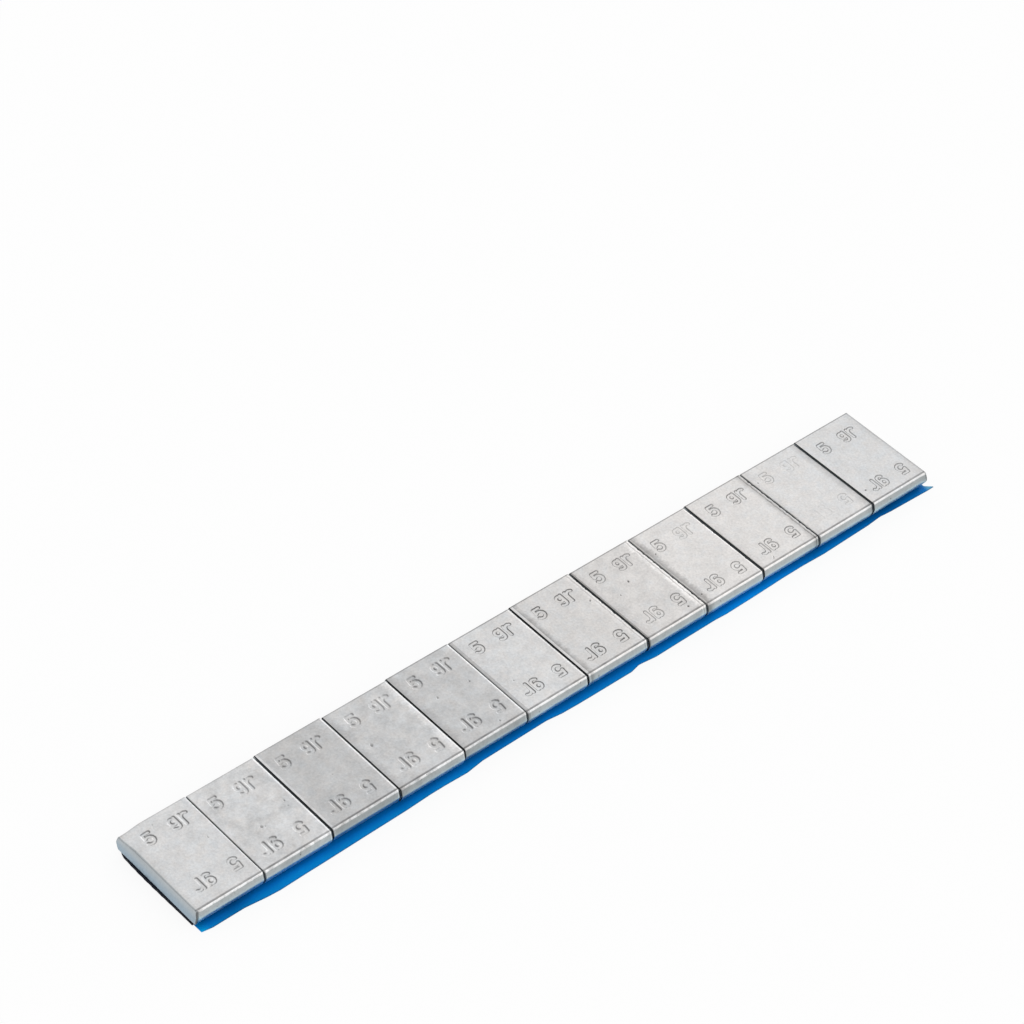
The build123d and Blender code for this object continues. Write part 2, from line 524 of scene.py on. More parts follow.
def steps_along(place, starts, values, change="CONSTANT"):
    """A value that changes along the strip, each from its own starting place."""
    low, length = CAD_LOW.x, CAD_HIGH.x - CAD_LOW.x
    along = (axis(place, "X") - low / MM) * (MM / length)
    stops = [((begin - low) / length, value / 2) for begin, value in zip(starts, values)]
    return 2 * along.node("ShaderNodeValToRGB", {"interpolation": change, "stops": stops}, {0: along})


def blend(factor, first, second):
    """A colour between two others."""
    inputs = {0: factor, 6: colour(first), 7: colour(second)}
    return factor.node("ShaderNodeMix", {"data_type": "RGBA"}, inputs, output=2)


def tint(shade, value):
    """A colour made lighter or darker by a value."""
    settings = {"data_type": "RGBA", "blend_type": "MULTIPLY"}
    return value.node("ShaderNodeMix", settings, {0: 1.0, 6: colour(shade), 7: value}, output=2)


def colour(shade):
    """A colour property as a socket takes it, or a link as it is."""
    return shade if isinstance(shade, Signal) else (*shade, 1.0)


def relief(height, depth):
    """Bump of this depth in millimetres."""
    inputs = {"Strength": 1.0, "Distance": depth * MM, "Height": height}
    return height.node("ShaderNodeBump", inputs=inputs)


# Finishes

def zinc_finish(sizes):
    """Satin zinc plating: grain, faint blotches and a tone for each weight, with painted shade on rims,
    creases and marks' walls, and painted highlights.
    """
    material, start = new_finish("zinc_plate")
    place = millimetres(start)
    own = attribute(start, OWN_PLACE, "Vector")
    grain = noise(place, 0.35, 3.0)
    blotch = noise(place, 2.6)
    # Painted shade in the marks' walls and in the pits, and below 0 painted light on walls facing the
    # light
    walls = attribute(start, MARK_EDGE)
    dull = abs(walls)
    dull = dull.math("MINIMUM", dull, 1.0)
    level = weight_tone(place, own, grain, blotch) * weight_shadow(place, own, walls, sizes)
    warmth = 0.45 * fade(abs(axis(place, "X") - WARM_PLACE), *WARM_SPREAD)
    hue = noise(place, 1.5) * 1.6
    plating = blend(hue + 0.5 - warmth, sizes.warm_plating, sizes.cool_plating)
    shade = edge_colour(place, own, plating, sizes)
    inputs = {
        "Base Color": tint(shade, level.math("MINIMUM", level, BRIGHTEST)),
        "Metallic": 1.0,
        "Roughness": 0.38 + 0.25 * grain + 0.1 * blotch + 0.35 * dull,
        "Normal": relief(noise(place, 0.42, 3.0), 0.022),
    }
    return close_finish(material, start, inputs)


def by_weight(place, values):
    """A value that changes from weight to weight."""
    margin = 0.05 * MM
    return steps_along(place, [low.x - margin for low, high in WEIGHT_BOXES], values)


def plating_value(place, name):
    """One of the values of the weights' platings."""
    return by_weight(place, [getattr(row, name) for row in PLATINGS])


def near_start(along, core, reach):
    """1 up to the core's distance from a weight's -X end, falling to 0 at the reach."""
    return fade(along, core - BLANK_HALF, reach - BLANK_HALF)


def near_end(along, core, reach):
    """1 up to the core's distance from a weight's +X end, falling to 0 at the reach."""
    return rise(along, BLANK_HALF - reach, BLANK_HALF - core)


def row_start(place, own, core, reach):
    """The same at the -X end of the first weight alone."""
    first = ROW_START / MM
    return fade(axis(place, "X"), first + 1.0, first + 2.0) * near_start(axis(own, "X"), core, reach)


def weight_tone(place, own, grain, blotch):
    """Tone of each weight, with painted shade and sheen on the strips along its ends, a torn seam, and a
    painted highlight along its +X edge.
    """
    along = axis(own, "X")
    ragged = along + 0.4 * grain + 1.4 * noise(place, 1.8)
    torn = along + 0.5 * noise(place, 0.9)
    seam = plating_value(place, "seam") * fade(abs(torn - (BLANK_HALF - SEAM_PLACE)), 0.03, 0.16)
    seam = seam * (1 + 2.0 * noise(place, 0.7))
    tone = plating_value(place, "tone")
    tone = tone * (1 + 0.50 * grain + 0.22 * blotch * plating_value(place, "blotches"))
    # Painted shade and sheen on the strips where the ends roll over
    tone = tone * (1 + near_start(ragged, *START_STRIP) * (plating_value(place, "start") - 1))
    tone = tone * (1 + near_end(ragged, *END_STRIP) * (plating_value(place, "end") - 1))
    tone = tone * (1 - seam)
    # A painted highlight along the +X edge
    return tone * (1 + near_end(along, *EDGE_HIGHLIGHT) * (plating_value(place, "line") - 1))


def weight_shadow(place, own, walls, sizes):
    """Painted shade in the marks' walls, beside the gaps, in the crease, along the back and in dashes on
    the shoulder, with a painted highlight and specks.
    """
    flat = sizes.flat_half / MM
    top = WEIGHT_TOP / MM
    along = axis(place, "X")
    height = axis(place, "Z")
    from_middle = abs(axis(own, "X"))
    front = -1 * axis(own, "Y")
    # Painted shade in the marks' walls
    wall_shade = by_weight(place, [stamp.wall_shade for stamp in STAMPS])
    # Painted shade on the rims beside the gaps and at the row's -X end
    gap_starts = [CAD_LOW.x] + [(low.x + high.x) / 2 for low, high in WEIGHT_BOXES]
    rims = steps_along(place, gap_starts, [FIRST_RIM] + [row.rim for row in PLATINGS])
    rim = rims * near_end(from_middle, *GAP_RIM)
    on_nose = rise(front, flat, flat + 0.1)
    # Painted shade at the ends of the rolled front edge, beside each gap and at the row's -X end
    nose_rim = NOSE_RIM_SHADE * near_end(from_middle, *NOSE_RIM)
    first_rim = NOSE_RIM_SHADE * row_start(place, own, *FIRST_NOSE_RIM)
    nose_rim = nose_rim.math("MAXIMUM", nose_rim, first_rim) * on_nose
    patchy = 1 + 1.6 * noise(place, 2.2)
    # Painted shade in the front crease, patchy along it
    crease = patchy * fade(abs(front - CREASE_LINE), 0.06, 0.24) * rise(height, top - 0.14, top - 0.08)
    # Painted shade in dashes across the highlight on the front shoulder, strongest towards -X
    dashes = rise(noise(place, 1.1), -0.05, 0.12)
    shoulder = dashes * rise(front, flat - 0.02, flat + 0.06) * (0.08 + 0.22 * fade(along, -40.0, 5.0))
    shoulder = shoulder * rise(height, top - 0.5, top - 0.3)
    specks = 0.5 * on_nose * rise(noise(place, 0.6), 0.19, 0.25)
    # Painted shade along the back edge, fainter towards the -X end
    back_line = fade(abs(-1 * front - BACK_LINE), 0.08, 0.20) * (0.45 - 0.30 * fade(along, -60.0, 0.0))
    # A painted highlight on the front shoulder, just below the flat top
    worn = rise(front, flat - 0.02, flat + 0.05) * rise(height, top - 0.42, top - 0.22)
    shadow = (1 - wall_shade * walls) * (1 - rim) * (1 - nose_rim) * (1 - back_line) * (1 + 0.42 * worn)
    return shadow * (1 - 0.42 * crease) * (1 - shoulder) * (1 - specks)


def edge_colour(place, own, plating, sizes):
    """The plating's colour, with painted shade down the rolled edges, a painted reflection of the film
    low on the front edge and the sheared ends' colour on the strip's rolled-over end.
    """
    top = WEIGHT_TOP / MM
    height = axis(place, "Z")
    # Painted shade down the rolled edges
    shade = blend(fade(height, top - 0.40, top - 0.20), plating, sizes.shaded_rolled_edge)
    # A painted reflection of the blue film, low on the front edge
    beside_film = fade(axis(own, "Y"), -1.0, 0.0)
    shade = blend(beside_film * fade(height, top - 2.0, top - 0.7), shade, sizes.film_reflection)
    return blend(row_start(place, own, *FIRST_ROLL), shade, sizes.sheared_end)


def sheared_finish(sizes):
    """Sheared steel under a thin zinc film, with fine marks of the blade from top to bottom, and painted
    shade darker and bluer towards the foot.
    """
    material, start = new_finish("sheared_steel")
    place = millimetres(start)
    height = axis(place, "Z")
    stretched = place.node("ShaderNodeMapping", inputs={"Vector": place, "Scale": (1.0, 5.0, 0.8)})
    streaks = noise(stretched, 1.0, 3.0)
    grain = noise(place, 0.3)
    bottom = WEIGHT_BOTTOM / MM
    # Painted shade, darker and bluer towards the foot
    shade = blend(fade(height, bottom + 0.4, bottom + 2.8), sizes.sheared_end, sizes.shaded_sheared_foot)
    inputs = {
        "Base Color": tint(shade, 1 + 0.3 * streaks + 0.2 * grain),
        "Metallic": 1.0,
        "Roughness": 0.5 + 0.2 * streaks,
        "Normal": relief(streaks, 0.03),
    }
    return close_finish(material, start, inputs)


def foam_finish(sizes):
    """Matt black foam with small cells."""
    material, start = new_finish("foam_tape")
    place = millimetres(start)
    cells = noise(place, 0.12, 3.0)
    inputs = {
        "Base Color": tint(sizes.foam, 1 + 0.9 * cells),
        "Roughness": 0.8 + 0.3 * cells,
        "Specular IOR Level": 0.12,
        "Normal": relief(cells, 0.06),
    }
    return close_finish(material, start, inputs)


def film_finish(sizes):
    """Smooth blue film: painted light along its free edge and at its -X corner, paler at its pointed
    corner, painted shade along its cut and painted shadow beside the weights.
    """
    material, start = new_finish("liner_film")
    place = millimetres(start)
    waves = noise(place, 6.0)
    along = axis(place, "X")
    first, last = ROW_START / MM + FILM_START, ROW_END / MM
    front = -1 * axis(place, "Y")
    # Painted light along the free edge and at the -X corner
    edge = rise(front + 0.6 * waves, 9.4, 10.3)
    corner = fade(along, first + 0.2, first + 1.8)
    tail = rise(along, last - 0.1, last + 0.7)
    begins = [ROW_START + share * (ROW_END - ROW_START) for share, level in FILM_TONES]
    tone = steps_along(place, begins, [level for share, level in FILM_TONES], "LINEAR")
    # Painted shadow of the weights on the film beside them
    beside = fade(front, 9.1, 9.5)
    shade = blend(edge, sizes.film, sizes.outer_film)
    shade = blend(corner * (0.3 + 0.7 * edge), shade, sizes.corner_film)
    shade = blend(tail, shade, sizes.tail_film)
    # Painted shade along the cut edge
    cut = fade(attribute(start, FILM_EDGE), 0.03, 0.15)
    shade = blend(cut * (0.75 - 0.5 * corner), shade, sizes.shaded_cut_film)
    inputs = {
        "Base Color": tint(shade, tone * (1 + 0.3 * waves) * (1 - 0.15 * beside)),
        "Roughness": 0.42 + 0.2 * noise(place, 1.5),
        "Specular IOR Level": 0.06,
        "Normal": relief(noise(place, 3.0), 0.03),
    }
    return close_finish(material, start, inputs)


def floor_finish(sizes):
    """Plain pale floor with the part's shadow, and partly white to the camera and to gloss."""
    material, start = new_finish("pale_floor")
    place = millimetres(start)
    shade = tint(sizes.floor_colour, 1 + 0.01 * noise(place, 40.0))
    inputs = {"Base Color": shade, "Roughness": 0.9, "Specular IOR Level": 0.0}
    paint = start.node("ShaderNodeBsdfPrincipled", inputs=inputs)
    white = start.node("ShaderNodeEmission", inputs={"Strength": 1.0})
    seen = start.node("ShaderNodeLightPath", output="Is Camera Ray")
    seen = seen.math("MAXIMUM", seen, start.node("ShaderNodeLightPath", output="Is Glossy Ray"))
    surface = start.node("ShaderNodeMixShader", inputs={0: sizes.floor_white * seen, 1: paint, 2: white})
    start.node("ShaderNodeOutputMaterial", inputs={"Surface": surface})
    return material


# Modelling by hand

def choose(*objects):
    """Selects these objects alone and makes the first the active one."""
    bpy.ops.object.select_all(action="DESELECT")
    for obj in objects:
        obj.select_set(True)
    bpy.context.view_layer.objects.active = objects[0]


def start_edit(obj):
    """Opens one object alone for editing."""
    choose(obj)
    bpy.ops.object.mode_set(mode="EDIT")


def end_edit():
    """Back to object mode."""
    bpy.ops.object.mode_set(mode="OBJECT")


def pick(obj, test):
    """Selects the vertices, and what lies between them, whose places pass a test."""
    bpy.ops.mesh.select_mode(type="VERT")
    bpy.ops.mesh.select_all(action="DESELECT")
    mesh = bmesh.from_edit_mesh(obj.data)
    for vert in mesh.verts:
        vert.select_set(test(vert.co))
    mesh.select_flush(True)
    bmesh.update_edit_mesh(obj.data)


def pull_spot(obj, spot, core, reach, move):
    """Moves what is within the core of a spot, and draws along what is within its reach."""
    start_edit(obj)
    pick(obj, lambda co: (co - spot).length < core * MM)
    bpy.ops.transform.translate(
        value=[part * MM for part in move],
        use_proportional_edit=True,
        proportional_edit_falloff="SMOOTH",
        proportional_size=reach * MM,
    )
    end_edit()


def near(value, goal):
    """Whether two lengths are the same within a hundredth of a millimetre."""
    return abs(value - goal) < 0.01 * MM


def between(points, place):
    """Value at a place in a list of places and values, straight from point to point."""
    for (start, value), (end, next_value) in zip(points, points[1:]):
        if place <= end:
            return value + (next_value - value) * max(0.0, place - start) / (end - start)
    return points[-1][1]


def ripple(place, waves):
    """Sum of sine waves at a place, each with a size, a rate and a start."""
    return sum(size * math.sin(rate * place + start) for size, rate, start in waves)


def grid(length, columns, low, high, step):
    """A flat grid across one band of a weight's top."""
    rows = max(1, round((high - low) / step))
    place = (0.0, (low + high) / 2, WEIGHT_TOP)
    bpy.ops.mesh.primitive_grid_add(x_subdivisions=columns, y_subdivisions=rows, size=1.0, location=place)
    bpy.ops.transform.resize(value=(length, high - low, 1.0))
    bpy.ops.object.transform_apply()
    return bpy.context.object


def join(objects):
    """Joins objects into the first and merges what touches."""
    choose(*objects)
    bpy.ops.object.join()
    start_edit(objects[0])
    bpy.ops.mesh.select_all(action="SELECT")
    bpy.ops.mesh.remove_doubles(threshold=0.005 * MM)
    end_edit()
    return objects[0]


def blank_weight(sizes):
    """One plain weight about x = 0: a gridded top, two rolled edges, the underside and two ends."""
    flat_length = WEIGHT_LENGTH - 2 * sizes.edge_round
    columns = round(flat_length / sizes.fine_step)
    inner, outer, border = MARKS_INNER * MM, MARKS_OUTER * MM, BORDER_STEP * MM
    ends = (-sizes.flat_half, -outer, -inner, inner, outer, sizes.flat_half)
    steps = (border, sizes.fine_step, sizes.plain_step, sizes.fine_step, border)
    weight = join([grid(flat_length, columns, *band) for band in zip(ends, ends[1:], steps)])
    start_edit(weight)
    for side in (-1, 1):
        roll_edge(weight, sizes, side)
    pick(weight, lambda co: near(co.z, WEIGHT_BOTTOM))
    bpy.ops.mesh.bridge_edge_loops()
    for inset, share in CREASE_ROWS:
        row = sizes.crease_place - inset * MM
        pick(weight, lambda co: near(-co.y, row) and near(co.z, WEIGHT_TOP))
        bpy.ops.transform.translate(value=(0.0, 0.0, -share * sizes.crease_depth))
    for side in (-1, 1):
        ease_end(weight, sizes, side, flat_length / 2)
    bpy.ops.mesh.select_all(action="SELECT")
    bpy.ops.mesh.normals_make_consistent(inside=False)
    end_edit()
    bpy.ops.object.shade_smooth_by_angle(angle=SMOOTH_ANGLE)
    own_place = weight.data.attributes.new(OWN_PLACE, "FLOAT_VECTOR", "POINT")
    for vert, entry in zip(weight.data.vertices, own_place.data):
        entry.vector = vert.co / MM
    weight.data.attributes.new(MARK_EDGE, "FLOAT", "POINT")
    return weight


def roll_edge(weight, sizes, side):
    """Draws the bulged long edge on from one side of the flat top, down to the underside."""
    pick(weight, lambda co: near(co.y, side * sizes.flat_half) and near(co.z, WEIGHT_TOP))
    last_reach, last_drop = 0.0, 0.0
    for reach, drop in NOSE_PROFILE:
        move = {"value": (0.0, side * (reach - last_reach) * MM, (last_drop - drop) * MM)}
        bpy.ops.mesh.extrude_edges_move(TRANSFORM_OT_translate=move)
        last_reach, last_drop = reach, drop


def ease_end(weight, sizes, side, flat_end):
    """Rounds one end over in small steps and closes it with a flat face."""
    steps = 4
    half_height = (WEIGHT_TOP - WEIGHT_BOTTOM) / 2
    middle = (0.0, 0.0, WEIGHT_BOTTOM + half_height)
    pick(weight, lambda co: near(co.x, side * flat_end))
    reach, inset = 0.0, 0.0
    for step in range(1, steps + 1):
        turn = math.pi / 2 * step / steps
        next_reach = sizes.edge_round * math.sin(turn)
        next_inset = sizes.edge_round * (1 - math.cos(turn))
        move = {"value": (side * (next_reach - reach), 0.0, 0.0)}
        bpy.ops.mesh.extrude_edges_move(TRANSFORM_OT_translate=move)
        across = (WEIGHT_WIDTH / 2 - next_inset) / (WEIGHT_WIDTH / 2 - inset)
        up = (half_height - next_inset) / (half_height - inset)
        bpy.ops.transform.resize(value=(1.0, across, up), center_override=middle)
        reach, inset = next_reach, next_inset
    bpy.ops.mesh.edge_face_add()


def mark_tool(letter):
    """The middle lines of a figure's strokes, for pressing it into a weight."""
    lines = bpy.data.curves.new("mark_" + letter, "CURVE")
    for stroke in MARK_STROKES[letter]:
        spline = lines.splines.new("POLY")
        spline.points.add(len(stroke) - 1)
        for point, (x, y) in zip(spline.points, stroke):
            point.co = (x * MM, y * MM, 0.0, 1.0)
    tool = bpy.data.objects.new("mark_" + letter, lines)
    bpy.context.scene.collection.objects.link(tool)
    choose(tool)
    bpy.ops.object.convert(target="MESH")
    return bpy.context.object


def press(weight, tool, depth, wall, stroke=0.0):
    """Sinks the top of a weight under a tool, with a wall of this width around its stroke."""
    reach = weight.modifiers.new("Reach", "VERTEX_WEIGHT_PROXIMITY")
    reach.vertex_group = "face"
    reach.target = tool
    reach.proximity_mode = "GEOMETRY"
    reach.proximity_geometry = {"FACE"} if tool.data.polygons else {"EDGE"}
    reach.min_dist = stroke + wall
    reach.max_dist = stroke
    reach.falloff_type = "SMOOTH"
    sink = weight.modifiers.new("Sink", "DISPLACE")
    sink.direction = "Z"
    sink.mid_level = 0.0
    sink.strength = -depth
    sink.vertex_group = "face"
    bpy.context.view_layer.update()
    choose(weight)
    for name in (reach.name, sink.name):
        bpy.ops.object.modifier_apply(modifier=name)


def note_painted_shade(weight, depth, even=None, lit=0.0):
    """Notes for the finish the painted shade on the walls of the last press, set by how they face the
    light, or with no even share over its whole hollow.
    """
    fill = min(1.0, depth / FULL_SHADE_DEPTH)
    for vert, entry in zip(weight.data.vertices, weight.data.attributes[MARK_EDGE].data):
        for member in vert.groups:
            held = fill * member.weight
            if held and even is not None:
                wall = min(1.0, WALL_PEAK * member.weight * (1 - member.weight))
                held = fill * wall * (even + lit * vert.normal.dot(LIGHT_SIDE))
            if abs(held) > abs(entry.value):
                entry.value = held


def place_tool(tool, x, y, turn=0.0):
    """Lays a tool on the top of the weights."""
    tool.location = (x, y, WEIGHT_TOP)
    tool.rotation_euler = (0.0, 0.0, turn)


def discard(objects):
    """Deletes what isn't part of the strip."""
    for obj in objects:
        mesh = obj.data
        bpy.data.objects.remove(obj)
        bpy.data.meshes.remove(mesh)


def hand_over(piece, node):
    """Makes a finished piece stand for its node."""
    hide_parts(node)
    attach(piece, BODY)


class STRIP_OT_model_weights(bpy.types.Operator):
    """Model the twelve stamped weights"""

    bl_idname = "strip.model_weights"
    bl_label = "Model weights"

    def execute(self, context):
        sizes = context.scene.strip_weights
        blank = blank_weight(sizes)
        blank.data.materials.append(zinc_finish(sizes))
        blank.data.materials.append(sheared_finish(sizes))
        for face in blank.data.polygons:
            face.material_index = 1 if abs(face.normal.x) > 0.999 else 0
        tools = {letter: mark_tool(letter) for letter in MARK_STROKES}
        bpy.ops.mesh.primitive_circle_add(vertices=12, radius=1.0, fill_type="NGON")
        tools["pit"] = bpy.context.object
        bpy.ops.mesh.primitive_plane_add(size=1.0)
        tools["bar"] = bpy.context.object
        for number, node in enumerate(WEIGHT_NODES, 1):
            weight = self.copy_blank(blank, node)
            self.stamp_marks(weight, tools, number)
            self.wear_ends(weight, tools, number)
            self.bruise_edge(weight, number)
            if number == 1:
                self.lean_end(weight, sizes)
                self.round_corner(weight)
            weight.vertex_groups.clear()
            hand_over(weight, node)
        discard([blank, *tools.values()])
        return {"FINISHED"}

    def copy_blank(self, blank, node):
        """A copy of the blank, placed and stretched as one weight, with its top marked for pressing."""
        low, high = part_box(node)
        weight = bpy.data.objects.new("stamped_" + node, blank.data.copy())
        bpy.context.scene.collection.objects.link(weight)
        stretch = Matrix.Diagonal(((high.x - low.x) / WEIGHT_LENGTH, 1.0, 1.0, 1.0))
        middle = Vector(((low.x + high.x) / 2, (low.y + high.y) / 2, 0.0))
        weight.data.transform(Matrix.Translation(middle) @ stretch)
        lowest = WEIGHT_TOP - FACE_DEPTH * MM
        upper = [vert.index for vert in weight.data.vertices if vert.co.z > lowest]
        weight.vertex_groups.new(name="face").add(upper, 1.0, "REPLACE")
        return weight

    def stamp_marks(self, weight, tools, number):
        """Presses the four marks and the pits of a weight."""
        low, high = WEIGHT_BOXES[number - 1]
        middle = (low + high) / 2
        stamp = STAMPS[number - 1]
        for (figures, x, y, turn), depth in zip(MARKS, stamp.depths):
            way = math.cos(math.radians(turn))
            for position, figure in enumerate(figures):
                step = way * FIGURE_STEP * (position - (len(figures) - 1) / 2)
                mark_x = middle.x + (x + stamp.along + step) * MM
                mark_y = middle.y + (y + stamp.across) * MM
                place_tool(tools[figure], mark_x, mark_y, math.radians(turn))
                press(weight, tools[figure], depth * MM, stamp.wall * MM, stamp.stroke * MM)
                note_painted_shade(weight, depth, stamp.even, stamp.lit)
        pit = tools["pit"]
        for owner, x, y, radius, depth in PITS:
            if owner == number:
                pit.scale = (PIT_FLOOR * radius * MM, PIT_FLOOR * radius * MM, 1.0)
                place_tool(pit, middle.x + x * MM, middle.y + y * MM)
                press(weight, pit, depth * MM, PIT_WALL * radius * MM)
                # Painted shade over the whole hollow of the pit
                note_painted_shade(weight, depth)

    def wear_ends(self, weight, tools, number):
        """Rolls a weight's ends over and dents its burred edges."""
        low, high = WEIGHT_BOXES[number - 1]
        ends = {-1: low.x, 1: high.x}
        bar, pit = tools["bar"], tools["pit"]
        bar.scale = (END_BAR * MM, WEIGHT_WIDTH, 1.0)
        for owner, end, depth, reach in ROLLED_ENDS:
            if owner == number:
                place_tool(bar, ends[end], 0.0)
                press(weight, bar, depth * MM, reach * MM)
        for owner, end, depth, dips in BURRS:
            if owner == number:
                for turn, y in enumerate(dips):
                    reach = BURR_REACHES[turn % len(BURR_REACHES)]
                    length = BURR_LENGTHS[turn % len(BURR_LENGTHS)]
                    pit.scale = (reach * MM, length * MM, 1.0)
                    place_tool(pit, ends[end], y * MM)
                    press(weight, pit, depth * MM, BURR_WALL * MM)

    def bruise_edge(self, weight, number):
        """Pulls the rolled front edge in or out at the ends of the row."""
        low, high = WEIGHT_BOXES[number - 1]
        for owner, end, drop, pull in BRUISES:
            if owner == number:
                x = low.x if end < 0 else high.x
                spot = Vector((x, -WEIGHT_WIDTH / 2, WEIGHT_TOP - drop * MM))
                pull_spot(weight, spot, BRUISE_CORE, BRUISE_REACH, (0.0, pull, 0.0))

    def lean_end(self, weight, sizes):
        """Leans the row's -X end in towards its top and swells its foot."""
        height = WEIGHT_TOP - WEIGHT_BOTTOM
        length = 1.2 * MM
        for vert in weight.data.vertices:
            share = max(0.0, 1 - (vert.co.x - ROW_START) / length)
            up = (vert.co.z - WEIGHT_BOTTOM) / height
            across = vert.co.y / (WEIGHT_WIDTH / 2)
            lean = sizes.end_lean * up - sizes.end_bow * (1 - BOW_LOSS * up) * (1 - across * across)
            vert.co.x += share * lean

    def round_corner(self, weight):
        """Rolls the worn back corner at the strip's -X end over, down and outwards."""
        from_end, from_back = CORNER_INSET
        spot = Vector((ROW_START + from_end * MM, WEIGHT_HIGH.y - from_back * MM, WEIGHT_TOP))
        pull_spot(weight, spot, CORNER_CORE, CORNER_REACH, CORNER_MOVE)


class STRIP_OT_model_tape(bpy.types.Operator):
    """Model the foam tape under the weights"""

    bl_idname = "strip.model_tape"
    bl_label = "Model tape"

    def execute(self, context):
        sizes = context.scene.strip_tape
        bpy.ops.mesh.primitive_cube_add(size=1.0, location=(TAPE_LOW + TAPE_HIGH) / 2)
        tape = bpy.context.object
        tape.name = "foam_tape"
        bpy.ops.transform.resize(value=TAPE_HIGH - TAPE_LOW)
        bpy.ops.object.transform_apply()
        bpy.ops.object.mode_set(mode="EDIT")
        pick(tape, lambda co: near(co.y, TAPE_LOW.y))
        bpy.ops.transform.translate(value=(0.0, sizes.front_inset, 0.0))
        bpy.ops.mesh.select_all(action="SELECT")
        bpy.ops.mesh.bevel(offset=sizes.edge_round, segments=2)
        self.swell_ends(tape, sizes)
        end_edit()
        tape.data.materials.append(foam_finish(sizes))
        bpy.ops.object.shade_smooth_by_angle(angle=SMOOTH_ANGLE)
        hand_over(tape, "adhesive_tape")
        return {"FINISHED"}

    def swell_ends(self, tape, sizes):
        """Cuts the tape across many times and lets both cut ends swell unevenly."""
        cuts = 48
        half_width = (TAPE_HIGH.y - TAPE_LOW.y) / 2
        half_length = (TAPE_HIGH.x - TAPE_LOW.x) / 2
        for cut in range(1, cuts):
            bpy.ops.mesh.select_all(action="SELECT")
            line = (0.0, TAPE_LOW.y + 2 * half_width * cut / cuts, 0.0)
            bpy.ops.mesh.bisect(plane_co=line, plane_no=(0.0, 1.0, 0.0))
        mesh = bmesh.from_edit_mesh(tape.data)
        for vert in mesh.verts:
            if abs(vert.co.x) > half_length - TAPE_END * MM:
                across = vert.co.y / half_width
                ragged = 1 + ripple(across, TAPE_RIPPLES)
                swell = (1 - across * across) * (1 + BACK_SWELL * across) + LEAST_SWELL
                worn = max(0.0, across - (1 - WORN_SHARE)) / WORN_SHARE
                outward = math.copysign(1.0, vert.co.x)
                vert.co.x += outward * (sizes.bulge * ragged * swell - WORN_DEPTH * MM * worn * worn)
        bmesh.update_edit_mesh(tape.data)


class STRIP_OT_model_liner(bpy.types.Operator):
    """Model the release liner and its uneven flap"""

    bl_idname = "strip.model_liner"
    bl_label = "Model liner"

    def execute(self, context):
        sizes = context.scene.strip_liner
        bpy.ops.mesh.primitive_grid_add(x_subdivisions=400, y_subdivisions=FILM_ROWS, size=2.0)
        film = bpy.context.object
        film.name = "blue_liner"
        edge = film.data.attributes.new(FILM_EDGE, "FLOAT", "POINT")
        for vert, entry in zip(film.data.vertices, edge.data):
            along = (vert.co.x + 1) / 2
            vert.co = self.film_point(along, (1 - vert.co.y) / 2, sizes)
            entry.value = between(FLAP_CUT, along) + vert.co.y / MM
        thick = film.modifiers.new("Thickness", "SOLIDIFY")
        thick.thickness = LINER_HIGH.z - LINER_LOW.z
        thick.offset = -1.0
        bpy.ops.object.modifier_apply(modifier=thick.name)
        film.data.materials.append(film_finish(sizes))
        bpy.ops.object.shade_smooth_by_angle(angle=SMOOTH_ANGLE)
        hand_over(film, "release_liner")
        return {"FINISHED"}

    def film_point(self, along, out, sizes):
        """Place of one point of the film from its shares of the length and of the width."""
        start, end = ROW_START + FILM_START * MM, ROW_END
        cut = between(FLAP_CUT, along) * MM
        under = 8.0 * MM
        hidden = 1 / FILM_ROWS
        if out <= hidden:
            y = LINER_HIGH.y + (-under - LINER_HIGH.y) * out / hidden
        else:
            y = -under - (cut - under) * (out - hidden) / (1 - hidden)
        x = start + along * (end - start + between(TAIL_EDGE, -y / MM) * MM)
        free = max(0.0, -y - CURL_START * MM) / (CURL_WIDTH * MM)
        wave = CURL_LEVEL + ripple(along, CURL_RIPPLES)
        return Vector((x, y, LINER_HIGH.z + sizes.curl * wave * free * free))


def direction(azimuth, elevation):
    """Unit vector away from the part at a turn round it and a height above the horizon."""
    flat = math.cos(elevation)
    return Vector((math.sin(azimuth) * flat, -math.cos(azimuth) * flat, math.sin(elevation)))


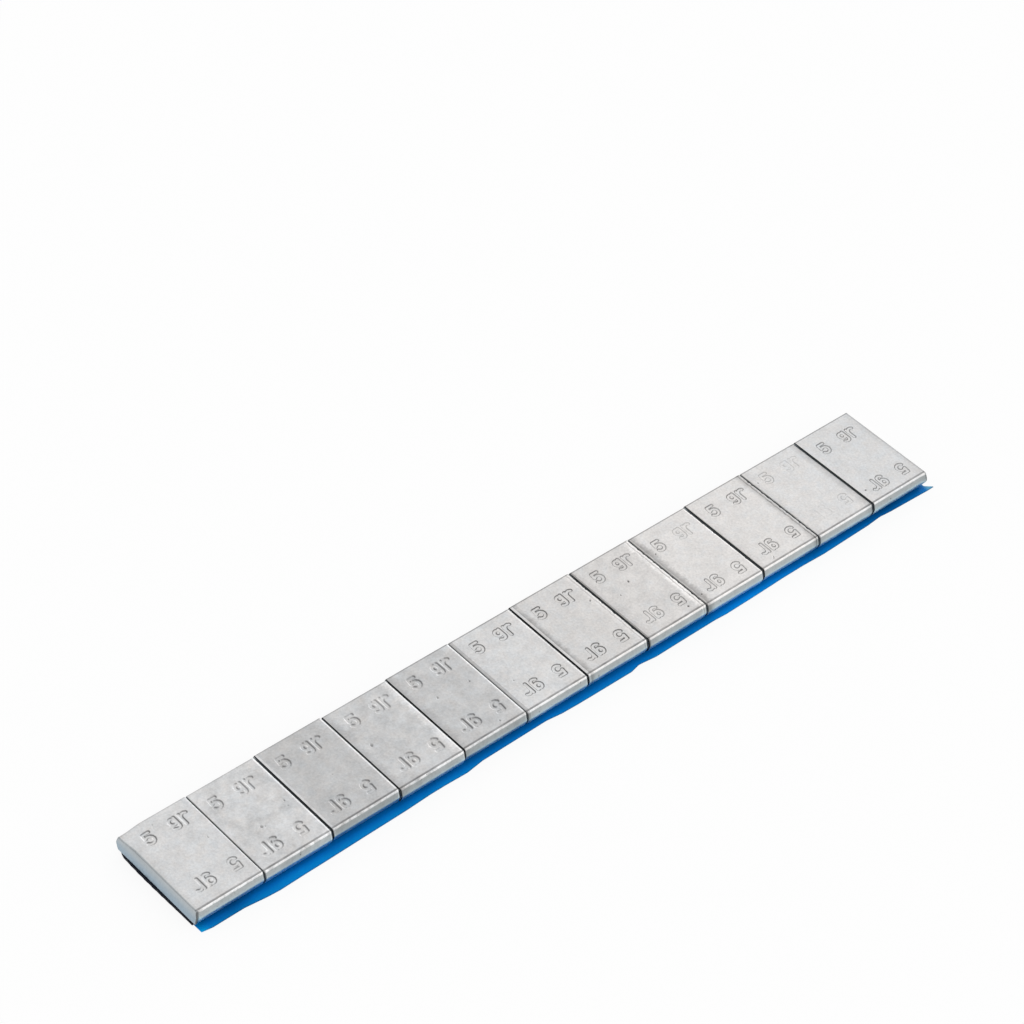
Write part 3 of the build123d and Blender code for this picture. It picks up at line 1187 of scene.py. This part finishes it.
class STRIP_OT_set_stage(bpy.types.Operator):
    """Set the floor, the lamps, the surroundings and the camera"""

    bl_idname = "strip.set_stage"
    bl_label = "Set stage"

    def execute(self, context):
        sizes = context.scene.strip_studio
        bpy.ops.mesh.primitive_circle_add(vertices=64, radius=6.0, fill_type="NGON")
        floor = bpy.context.object
        floor.name = "floor"
        floor.data.materials.append(floor_finish(sizes))
        for lamp in LAMPS:
            self.add_lamp(*lamp)
        self.set_surroundings(context.scene)
        self.add_camera(context.scene, sizes)
        context.scene.view_settings.view_transform = "Standard"
        return {"FINISHED"}

    def add_lamp(self, name, azimuth, elevation, width, energy):
        """A soft round lamp far away, at a turn round the part and a height above the horizon."""
        bpy.ops.object.light_add(type="SUN")
        lamp = bpy.context.object
        lamp.name = name
        lamp.data.angle = math.radians(width)
        lamp.data.energy = energy
        away = direction(math.radians(azimuth), math.radians(elevation))
        lamp.rotation_euler = away.to_track_quat("Z", "Y").to_euler()

    def set_surroundings(self, scene):
        """Soft grey room, brightest in a ring half-way up and darker overhead."""
        scene.world = bpy.data.worlds.new("room")
        scene.world.use_nodes = True
        scene.world.node_tree.nodes.clear()
        start = Signal(scene.world.node_tree)
        toward = start.node("ShaderNodeTexCoord", output="Generated")
        dot = {"operation": "DOT_PRODUCT"}
        upward = start.node("ShaderNodeVectorMath", dot, {0: toward, 1: ROOM_POLE}, output="Value")
        level = upward.node("ShaderNodeValToRGB", {"stops": ROOM_LEVELS}, {0: upward})
        light = {"Color": level, "Strength": ROOM_STRENGTH}
        room = start.node("ShaderNodeBackground", inputs=light)
        start.node("ShaderNodeOutputWorld", inputs={"Surface": room})

    def add_camera(self, scene, sizes):
        """The camera of the photograph."""
        target = Vector(sizes.target)
        away = direction(sizes.azimuth, sizes.elevation)
        bpy.ops.object.camera_add(location=target + sizes.distance * away)
        camera = bpy.context.object
        level = (-away).to_track_quat("-Z", "Y")
        camera.rotation_euler = (level @ Quaternion((0.0, 0.0, 1.0), sizes.roll)).to_euler()
        camera.data.sensor_fit = "HORIZONTAL"
        camera.data.sensor_width = 36.0
        camera.data.lens = sizes.lens
        camera.data.clip_start = 0.01
        scene.camera = camera


class STRIP_PT_panel(bpy.types.Panel):
    """Sidebar panel that lists the steps and their sizes"""

    bl_idname = "STRIP_PT_panel"
    bl_label = "Balance weight strip"
    bl_space_type = "VIEW_3D"
    bl_region_type = "UI"
    bl_category = "Strip"

    def draw(self, context):
        for name, group, operator in STEPS:
            box = self.layout.box()
            box.operator(operator.bl_idname)
            for setting in group.__annotations__:
                box.prop(getattr(context.scene, name), setting)


STEPS = (
    ("strip_weights", WeightSettings, STRIP_OT_model_weights),
    ("strip_tape", TapeSettings, STRIP_OT_model_tape),
    ("strip_liner", LinerSettings, STRIP_OT_model_liner),
    ("strip_studio", StudioSettings, STRIP_OT_set_stage),
)
CLASSES = (*(step[1] for step in STEPS), *(step[2] for step in STEPS), STRIP_PT_panel)


def register():
    """Adds the classes and their settings."""
    for item in CLASSES:
        bpy.utils.register_class(item)
    for name, group, operator in STEPS:
        setattr(bpy.types.Scene, name, PointerProperty(type=group))


def unregister():
    """Takes the settings and the classes away again."""
    for name, group, operator in STEPS:
        delattr(bpy.types.Scene, name)
    for item in reversed(CLASSES):
        bpy.utils.unregister_class(item)


def main():
    """Models the strip and sets the stage."""
    register()
    bpy.ops.strip.model_weights()
    bpy.ops.strip.model_tape()
    bpy.ops.strip.model_liner()
    bpy.ops.strip.set_stage()


if __name__ == "__main__":
    main()
